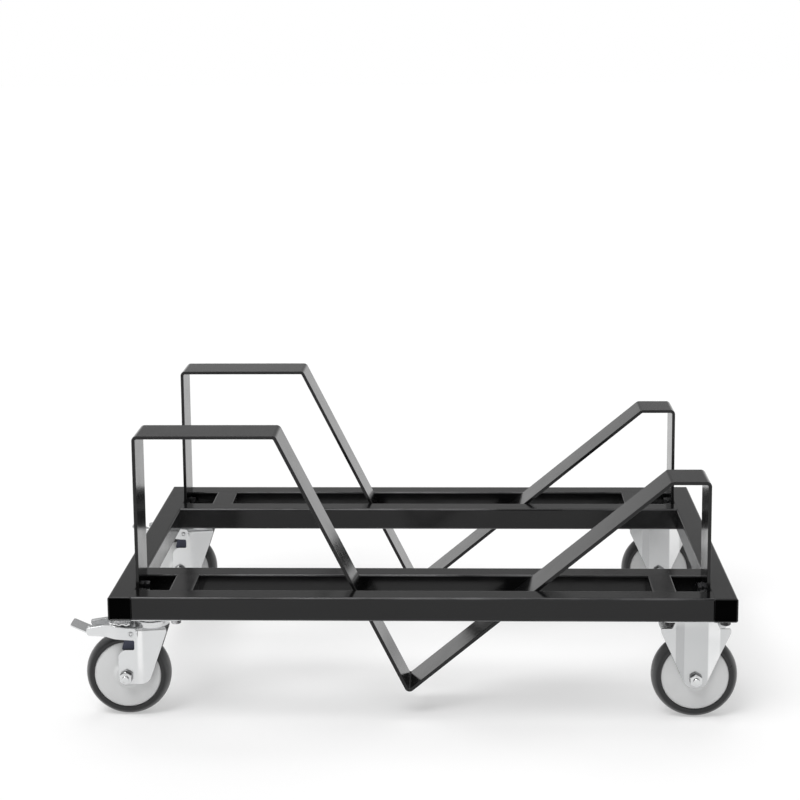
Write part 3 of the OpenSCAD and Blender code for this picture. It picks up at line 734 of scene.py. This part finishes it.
def bridgePath():
    # the section across the wheel: up one cheek, round the shoulder, over the crown and down again
    bottom = min(z for _, z in forkLook["outline"])
    half, top = forkLook["half"], forkLook["top"]
    corners = [(-half, bottom), (-half, top), (half, top), (half, bottom)]
    path, _ = roundedCorners(corners, forkLook["shoulder"], forkLook["shoulderSteps"], closed=False)
    return path, lengthAlong(path)


def pressedFork():
    # y is the bridge section's y, drawn in by the crease: half the slope times the distance past the
    # crease plus its softened length; x and the distance along the section are the two parameters
    path, distance = bridgePath()
    total = distance[-1]
    bottom = path[0, 1]
    slope = math.tan(math.radians(forkLook["turn"]))

    def shape(across, along):
        past = across - forkLook["creaseX"]
        drawIn = slope * (past + np.sqrt(past ** 2 + forkLook["creaseSoft"] ** 2)) / 2
        y = np.interp(along, distance, path[:, 0]) * (1 - drawIn / forkLook["half"])
        return np.stack([across, y, np.interp(along, distance, path[:, 1])], -1)

    level, left, right = outlineSpans(
        forkLook["outline"], forkLook["radii"], forkLook["arcSteps"], axis=1, rows=forkLook["rows"],
    )
    cheek = level < forkLook["top"] - forkLook["shoulder"]
    level, left, right = level[cheek], left[cheek], right[cheek]
    crownRows = forkLook["crownRows"]
    overTop = np.linspace(level[-1] - bottom, total - level[-1] + bottom, crownRows)[1:-1]
    middle = np.sin(np.linspace(0, np.pi, crownRows)[1:-1])
    along = np.concatenate([level - bottom, overTop, total - (level - bottom)[::-1]])
    left = np.concatenate([left, np.full(len(overTop), forkLook["crownLeft"]), left[::-1]])
    crownRight = right[-1] + (forkLook["crownRight"] - right[-1]) * middle
    right = np.concatenate([right, crownRight, right[::-1]])
    across = spreadAcross(left, right, forkLook["columns"])
    # painted highlight: a bright band along the crease
    shine = np.exp(-((across - forkLook["creaseX"]) / forkLook["creaseShine"]) ** 4)
    return pressedSheet(shape, across, along[:, None], forkLook["sheet"], rubbed=shine)


forkSurface = pressedFork()
for end, y in ends.items():
    parts = casterAt([forkSurface, headRing(*headLook["lower"])], swivelX, y)
    makePiece(f"{end}SwivelFork", parts, f"{end}_left_swivel", [f"{end}_left_fork"], "zinc")
print("swivel forks made")


# Fixed forks: the plate with two pressed legs, each a raised panel between two wings

legLook = {
    "out": 23.5, "sheet": 3.0, "panelHalf": 17.0, "rise": 3.0, "soft": 0.7,
    "facetHalf": (29.0, 34.5),    # outer edges of the left and of the right facet
    "side": ((12.5, 50.0), (50.0, 131.0), (50.0, 137.0), (34.0, 137.0), (26.0, 154.0)),
    "radii": (12.5, 12.0, 2.0, 4.0, 0.0), "arcSteps": 5, "rows": 36, "columns": 180,
    # painted shade on the wings, the left facet and the panel, and a painted highlight on the right facet
    "dullAt": (-29.5, -28.5, -17.5, -16.5, 16.5, 17.5, 34.0, 35.0),
    "dullness": (0.12, 0.365, 0.365, 0.21, 0.21, 0.0, 0.0, 0.12),
    "shineAt": (16.5, 18.0, 33.5, 35.0), "shine": (0.0, 1.0, 1.0, 0.0),
    # a painted highlight along the bend at the top of each leg, and painted shade under the plate
    "bendAt": (140.0, 151.0), "bendShine": (0.0, 0.7), "underDull": 1.0,
}


def pressedLeg():
    # y falls from the panel to the wings along a straight facet with softened ends: the difference
    # of the softened distances from the facet's two edges
    def shape(across, along):
        foot = np.where(across < 0, *legLook["facetHalf"])
        inner = np.sqrt((np.abs(across) - legLook["panelHalf"]) ** 2 + legLook["soft"] ** 2)
        outer = np.sqrt((np.abs(across) - foot) ** 2 + legLook["soft"] ** 2)
        share = (inner - outer) / (foot - legLook["panelHalf"]) / 2 + 0.5
        return np.stack([across, legLook["rise"] * share - legLook["out"], along], -1)

    right = list(legLook["side"])
    left = [(-x, z) for x, z in right[::-1]]
    radii = list(legLook["radii"][::-1]) + list(legLook["radii"])
    level, low, high = outlineSpans(left + right, radii, legLook["arcSteps"], axis=1, rows=legLook["rows"])
    across = spreadAcross(low, high, legLook["columns"])
    # painted shade across the panel, the left facet and the wings; painted highlight on the right facet and
    # the top bend
    dulled = np.interp(across, legLook["dullAt"], legLook["dullness"])
    facetShine = np.interp(across, legLook["shineAt"], legLook["shine"])
    bendShine = np.interp(level[:, None], legLook["bendAt"], legLook["bendShine"])
    rubbed = np.maximum(facetShine, bendShine)
    return pressedSheet(shape, across, level[:, None], legLook["sheet"], rubbed=rubbed, dulled=dulled)


legSurface = pressedLeg()
for end, y in ends.items():
    parts = casterAt([plateSurface(legLook["underDull"]), legSurface, farSide(legSurface)], fixedX, y)
    makePiece(f"{end}FixedFork", parts, "frame", [f"{end}_right_fork"], "zinc")
print("fixed forks made")


# Axles: bolt through the fork from the back, nut at the front

axleLook = {
    "height": 62.5, "trail": 36.0, "radius": 5.0, "hexagon": 9.8, "headHeight": 6.4, "nutHeight": 8.0,
    # the hexagons' sides darken as a painted dark reflection of the frame, their corners take a painted
    # highlight
    "forkHalf": 23.5, "end": 4.0, "sideDull": 1.0, "cornerShine": 0.3,
}


def axleHexagon(height, chamfers):
    return hexagonHead(
        axleLook["hexagon"], height, chamfers, axleLook["cornerShine"], sideDull=axleLook["sideDull"],
    )


def axleBolt(x, y):
    # head behind the fork, shank through it and a threaded end before the nut
    half, z = axleLook["forkHalf"], axleLook["height"]
    length = 2 * half + axleLook["nutHeight"]
    behind = [(x, y + half, z)]
    return (
        setAt(axleHexagon(axleLook["headHeight"], chamfers=1), "back", behind)
        + setAt(plainShank(axleLook["radius"], length), "back", behind)
        + setAt(threadedEnd(axleLook["radius"], axleLook["end"]), "front", [(x, y + half - length, z)])
    )


def axleNut(x, y):
    # a hexagon cut at both ends, before the fork
    nut = axleHexagon(axleLook["nutHeight"], chamfers=2)
    return setAt(nut, "front", [(x, y - axleLook["forkHalf"], axleLook["height"])])


swivelAxleX = swivelX - axleLook["trail"]
for end, y in ends.items():
    body = f"{end}_left_swivel"
    makePiece(f"{end}SwivelAxleBolt", axleBolt(swivelAxleX, y), body, [f"{end}_left_axle_bolt"], "zinc")
    makePiece(f"{end}SwivelAxleNut", axleNut(swivelAxleX, y), body, [f"{end}_left_axle_nut"], "zinc")
fixedBolts = [part for y in ends.values() for part in axleBolt(fixedX, y)]
fixedNuts = [part for y in ends.values() for part in axleNut(fixedX, y)]
makePiece("fixedAxleBolts", fixedBolts, "frame", ["fixed_axle_bolts"], "zinc")
makePiece("fixedAxleNuts", fixedNuts, "frame", ["fixed_axle_nuts"], "zinc")
print("axles made")


# Brake: pedal on two short rivets

pedalLook = {
    "pivotX": -27.0, "pivot": 128.5, "flangeOut": 26.5, "sheet": 2.5,
    "tipOut": 18.0, "flare": (-68.0, -46.0),
    "flange": (
        (-92.0, -5.0), (-57.0, -7.0), (-27.0, -9.0), (-18.0, -9.0), (-18.0, 9.0), (-35.0, 10.0),
        (-57.0, 12.5), (-95.0, 6.5),
    ),
    "flangeRadii": (3.0, 20.0, 0.0, 6.0, 6.0, 6.0, 10.0, 3.0), "flangeArcs": 8, "flangeGrid": (70, 24),
    "lip": 0.7, "lipDepth": 3.2,
    "floor": ((-68.0, -1.5), (-92.0, -1.5), (-117.7, 9.94)), "floorBend": 6.0, "floorLap": 0.4,
    "tongueHalf": 15.0, "tongueRadii": (0.0, 2.0, 4.0, 4.0, 2.0, 0.0), "tongueArcs": 6,
    "tongueGrid": (40, 24),
    "bridge": (-60.0, -29.0), "bridgeTop": 12.5, "teeth": 2.0, "halfWaves": 6, "bridgeGrid": (60, 12),
    "rivet": ((5.5, 0.0), (5.3, 0.8), (4.5, 1.7), (3.4, 2.3), (2.5, 2.5), (2.0, 2.3), (1.5, 1.3), (0.6, 0.9)),
    # painted shade on the rivet head, all but a ring on its upper slope
    "rivetDull": (1.0, 1.0, 0.4, 0.0, 0.3, 1.0, 1.0, 1.0), "rivetShank": 2.5, "rivetLength": 8.0,
}


def pedalHalf(x):
    # half width of the pedal: narrow beside the tongue, then flared along half a cosine wave to pass the fork
    narrow, flared = pedalLook["flare"]
    share = np.clip((x - narrow) / (flared - narrow), 0, 1)
    widening = pedalLook["flangeOut"] - pedalLook["tipOut"]
    return pedalLook["tipOut"] + widening * (1 - np.cos(np.pi * share)) / 2


def pedalFlange():
    # a cheek at the pedal's half width, whose top edge leans outwards: lip times the square of the
    # share of lipDepth
    rows, columns = pedalLook["flangeGrid"]
    x, low, high = outlineSpans(
        pedalLook["flange"], pedalLook["flangeRadii"], pedalLook["flangeArcs"], axis=0, rows=rows,
    )

    def shape(across, along):
        edge = np.interp(along, x, high)
        near = np.clip(1 - (edge - across) / pedalLook["lipDepth"], 0, 1)
        y = -pedalHalf(along) - pedalLook["lip"] * (near ** 2 - 1)
        return np.stack([along, y, across + pedalLook["pivot"]], -1)

    across = spreadAcross(low, high, columns)
    return pressedSheet(shape, across, x[:, None], pedalLook["sheet"])


def pedalTongue():
    # width across the pedal carried along the floor and up the tongue's slope
    floor, narrow, arcs = pedalLook["floor"], pedalLook["tongueHalf"], pedalLook["tongueArcs"]
    rows, columns = pedalLook["tongueGrid"]
    path, _ = roundedCorners(floor, pedalLook["floorBend"], arcs, closed=False)
    distance = lengthAlong(path)
    startHalf = float(pedalHalf(path[0, 0])) - pedalLook["sheet"] + pedalLook["floorLap"]
    floorEnd = abs(floor[1][0] - floor[0][0])
    corners = [
        (0.0, -startHalf), (floorEnd, -narrow), (distance[-1], -narrow),
        (distance[-1], narrow), (floorEnd, narrow), (0.0, startHalf),
    ]
    along, low, high = outlineSpans(corners, pedalLook["tongueRadii"], arcs, axis=0, rows=rows)

    def shape(across, length):
        x = np.interp(length, distance, path[:, 0])
        z = np.interp(length, distance, path[:, 1]) + pedalLook["pivot"]
        return np.stack([x, across, z], -1)

    across = spreadAcross(low, high, columns)
    return pressedSheet(shape, across, along[:, None], pedalLook["sheet"])


def pedalBridge():
    # a flat top between the flanges, ribbed across by a cosine wave along the pedal
    left, right = pedalLook["bridge"]
    rows, columns = pedalLook["bridgeGrid"]
    length = np.linspace(left, right, rows)[:, None]
    half = pedalHalf(length) - pedalLook["sheet"] + pedalLook["floorLap"]
    across = half * np.linspace(-1, 1, columns)

    def shape(wide, along):
        wave = np.cos((along - left) / (right - left) * pedalLook["halfWaves"] * np.pi)
        z = pedalLook["pivot"] + pedalLook["bridgeTop"] - pedalLook["teeth"] * (1 - wave) / 2
        return np.stack([along, wide, z], -1)

    return pressedSheet(shape, across, length, pedalLook["sheet"])


flangeSurface = pedalFlange()
tongueSurface = pedalTongue()
bridgeSurface = pedalBridge()
# painted shade on the rivet heads
rivetDull = np.array(pedalLook["rivetDull"])[:, None]
rivetSurface = turnedForm(pedalLook["rivet"], closed=False, steps=shankSteps, dull=rivetDull)
rivetShank = plainShank(pedalLook["rivetShank"], pedalLook["rivetLength"])
pivotX = swivelX + pedalLook["pivotX"]
for end, y in ends.items():
    parts = casterAt([flangeSurface, farSide(flangeSurface), tongueSurface, bridgeSurface], swivelX, y)
    makePiece(f"{end}Pedal", parts, f"{end}_left_brake", [f"{end}_left_pedal"], "zinc")
    rivets = []
    for direction, out in (("front", -pedalLook["flangeOut"]), ("back", pedalLook["flangeOut"])):
        place = [(pivotX, y + out, pedalLook["pivot"])]
        rivets += setAt(rivetSurface, direction, place) + setAt(rivetShank, direction, place)
    makePiece(f"{end}BrakeRivets", rivets, f"{end}_left_swivel", [f"{end}_left_brake_rivet"], "zinc")
print("brakes made")


# Wheels: domed centre and crowned tyre, turned about the axle

wheelLook = {
    "radius": 62.47, "centre": 49.0, "bore": 9.5, "hub": 16.0, "hubHalf": 20.0, "hubEdge": 1.2,
    "hubTurn": (90.0, 20.0), "hubSteps": 5,
    "discIn": (20.0, 16.5), "discOut": (47.6, 13.6), "discSwell": 0.5, "discSteps": 14,
    "rimEdge": 12.6, "rimBreak": (0.4, 0.5),
    "tyreHalf": 15.0, "swellRadius": 52.0, "tyreFoot": ((1.2, 0.1), (0.4, 0.4), (0.0, 1.0)),
    # the tread lightens between these radii: part wear, part a painted highlight on the crown
    "wornAt": (55.0, 60.5), "treadSteps": 36, "steps": 192,
}


def wheelCentre():
    # half of the profile: hub, short slope, then a disc that swells by a sine between hub and rim
    share = np.linspace(0, 1, wheelLook["discSteps"])[:, None]
    inner, outer = np.array([wheelLook["discIn"], wheelLook["discOut"]])
    disc = inner + (outer - inner) * share + np.sin(np.pi * share) * (0.0, wheelLook["discSwell"])
    turn = np.radians(np.linspace(*wheelLook["hubTurn"], wheelLook["hubSteps"]))
    edge = wheelLook["hubEdge"]
    hubCorner = np.array([wheelLook["hub"], wheelLook["hubHalf"]])
    hub = hubCorner - edge + edge * np.stack([np.cos(turn), np.sin(turn)], -1)
    rimRadius, rimHalf = wheelLook["centre"], wheelLook["rimEdge"]
    inset, rise = wheelLook["rimBreak"]
    rim = [(rimRadius - inset, rimHalf + rise), (rimRadius, rimHalf)]
    half = np.concatenate([[(wheelLook["bore"], wheelLook["hubHalf"])], hub, disc, rim])
    return turnedForm(np.concatenate([half, half[::-1] * [1, -1]]), closed=True, steps=wheelLook["steps"])


def wheelTyre():
    # half an ellipse round the tread: swell radius plus radial half axis times cosine, tyre half width
    # times sine; a short lip leads each side down to the wheel centre
    half, swell = wheelLook["tyreHalf"], wheelLook["swellRadius"]
    turn = np.linspace(0, np.pi / 2, wheelLook["treadSteps"])
    tread = np.stack([swell + (wheelLook["radius"] - swell) * np.cos(turn), half * np.sin(turn)], -1)
    foot = np.array([[wheelLook["centre"] + lip, half - drop] for lip, drop in wheelLook["tyreFoot"]])
    upper = np.concatenate([tread, foot])
    profile = np.concatenate([upper, upper[:0:-1] * [1, -1]])
    # tread lighter outwards: part wear, part a painted highlight on the crown
    worn = np.interp(profile[:, 0], wheelLook["wornAt"], (0.0, 1.0))[:, None]
    return turnedForm(profile, closed=True, steps=wheelLook["steps"], worn=worn)


centreSurface = wheelCentre()
tyreSurface = wheelTyre()
for end, y in ends.items():
    for side, x in (("left", swivelAxleX), ("right", fixedX)):
        body = f"{end}_{side}_roller"
        spot = [(x, y, axleLook["height"])]
        title = f"{end}{side.capitalize()}"
        makePiece(
            f"{title}WheelCentre", setAt(centreSurface, "front", spot), body,
            [f"{end}_{side}_wheel"], "wheel_centre",
        )
        makePiece(f"{title}Tyre", setAt(tyreSurface, "front", spot), body, [f"{end}_{side}_tyre"], "tyre")
print("wheels made")


# Parts kept as they are drawn get their finish here
keptFinishes = {
    "steel": ("inserts", "kingpins", "swivel_balls", "axle_sleeves", "axle_sleeve"),
    # the brake shoe's dark blued finish is its own colour and also stands as painted shade where it shows
    # below the pedal
    "blued_spring_steel": ("brake_shoe",), "bush": ("bush",),
}
for node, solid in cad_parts.items():
    for finish, endings in keptFinishes.items():
        if node.endswith(endings):
            solid.data.materials.clear()
            solid.data.materials.append(finishes[finish])
print("kept parts finished")


# Studio: a white matt floor, a sky that is brighter at the horizon, and two broad lamps so far away
# that the floor is lit evenly

studioLook = {
    "floorSize": 40.0, "floorColour": (0.95, 0.95, 0.95),
    # how far the floor is seen as plain white, so that shadows stay faint
    "plainShare": 0.42, "plainWhite": 1.0,
    # the horizon's strength gives way to the sky's between these two heights
    "horizon": 1.0, "sky": 0.34, "skyFrom": (0.05, 0.22),
}
lamps = {
    "keyLamp": {"from": (-0.45, -0.55, 1.30), "spread": 34.0, "strength": 1.90},
    "topLamp": {"from": (0.05, 0.50, 1.20), "spread": 38.0, "strength": 0.75},
}

half = studioLook["floorSize"] / 2
floorMesh = bpy.data.meshes.new("studioFloor")
corners = [(-half, -half, 0), (half, -half, 0), (half, half, 0), (-half, half, 0)]
floorMesh.from_pydata(corners, [], [(0, 1, 2, 3)])
floor = addObject("studioFloor", floorMesh)
floorFinish = bpy.data.materials.new("studioFloor")
floorFinish.use_nodes = True
tree = floorFinish.node_tree
paint = tree.nodes["Principled BSDF"]
paint.inputs["Base Color"].default_value = (*studioLook["floorColour"], 1.0)
paint.inputs["Roughness"].default_value = 1.0
paint.inputs["Specular IOR Level"].default_value = 0.0
plain = tree.nodes.new("ShaderNodeEmission")
plain.inputs["Strength"].default_value = studioLook["plainWhite"]
path = tree.nodes.new("ShaderNodeLightPath")
seen = tree.nodes.new("ShaderNodeMath")
seen.operation = "MAXIMUM"
tree.links.new(path.outputs["Is Camera Ray"], seen.inputs[0])
tree.links.new(path.outputs["Is Glossy Ray"], seen.inputs[1])
share = rangeNode(tree, seen.outputs["Value"], (0.0, 1.0), (0.0, studioLook["plainShare"]))
blend = tree.nodes.new("ShaderNodeMixShader")
tree.links.new(share.outputs["Result"], blend.inputs["Fac"])
tree.links.new(paint.outputs["BSDF"], blend.inputs[1])
tree.links.new(plain.outputs["Emission"], blend.inputs[2])
tree.links.new(blend.outputs["Shader"], tree.nodes["Material Output"].inputs["Surface"])
floorMesh.materials.append(floorFinish)

world = bpy.data.worlds.new("studioSky")
world.use_nodes = True
bpy.context.scene.world = world
tree = world.node_tree
sky = tree.nodes["Background"]
split = tree.nodes.new("ShaderNodeSeparateXYZ")
tree.links.new(tree.nodes.new("ShaderNodeTexCoord").outputs["Generated"], split.inputs["Vector"])
strengths = (studioLook["horizon"], studioLook["sky"])
rise = rangeNode(tree, split.outputs["Z"], studioLook["skyFrom"], strengths)
rise.interpolation_type = "SMOOTHSTEP"
sky.inputs["Color"].default_value = (1.0, 1.0, 1.0, 1.0)
tree.links.new(rise.outputs["Result"], sky.inputs["Strength"])

for name, lamp in lamps.items():
    light = bpy.data.lights.new(name, "SUN")
    light.angle = math.radians(lamp["spread"])
    light.energy = lamp["strength"]
    holder = addObject(name, light)
    holder.rotation_euler = Vector(lamp["from"]).to_track_quat("Z", "Y").to_euler()
print("studio made")


# Camera, set from the photograph's own perspective

cameraLook = {
    "lens": 81.6792, "sensor": 36.0, "shiftY": -0.15,
    "place": (0.09243, -2.78677, 1.03259), "yaw": 2.072, "pitch": 8.7248, "roll": -0.5115,
}
cameraData = bpy.data.cameras.new("camera")
cameraData.sensor_width = cameraLook["sensor"]
cameraData.lens = cameraLook["lens"]
cameraData.shift_y = cameraLook["shiftY"]
cameraData.dof.use_dof = False
camera = addObject("camera", cameraData)
aim = (
    Matrix.Rotation(math.radians(cameraLook["yaw"]), 4, "Z")
    @ Matrix.Rotation(math.radians(90 - cameraLook["pitch"]), 4, "X")
    @ Matrix.Rotation(math.radians(cameraLook["roll"]), 4, "Z")
)
camera.matrix_world = Matrix.Translation(cameraLook["place"]) @ aim
bpy.context.scene.camera = camera
bpy.context.scene.view_settings.view_transform = "Standard"
print("camera set")
